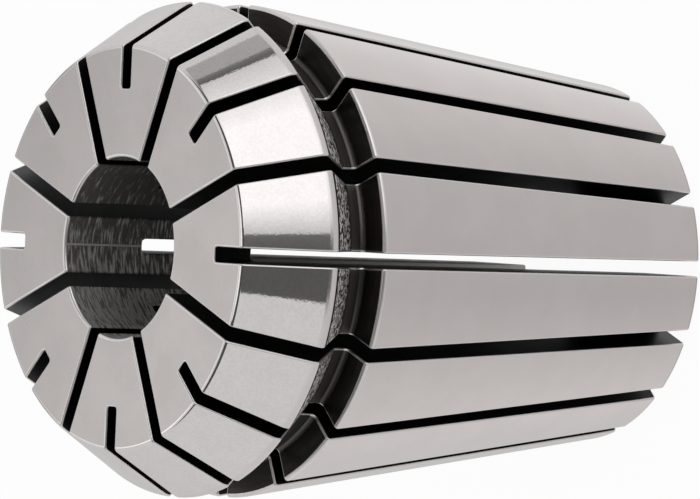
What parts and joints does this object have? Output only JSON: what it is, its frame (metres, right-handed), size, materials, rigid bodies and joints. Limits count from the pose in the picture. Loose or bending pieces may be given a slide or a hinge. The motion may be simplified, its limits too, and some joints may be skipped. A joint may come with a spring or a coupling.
{
  "type": "er collet",
  "caption": "One-piece slotted spring collet: steep nose cone and nut groove ahead of a long clamping taper, around a straight bore.",
  "frame": {"origin": "centre of the rear face, the small end of the clamping taper, on which the collet stands", "axes": "+Z along the bore axis from the rear face to the nose face; +X and +Y each run through the middle of a slot that is sawn from the rear end"},
  "size_m": [0.033, 0.033, 0.04],
  "materials": {
    "steel": "hardened spring steel, cones, land and faces finely ground bright, groove left as turned, bore honed, slots as sawn with their edges lightly broken"
  },
  "bodies": {
    "root": {"collet": "steel"}
  },
  "joints": []
}
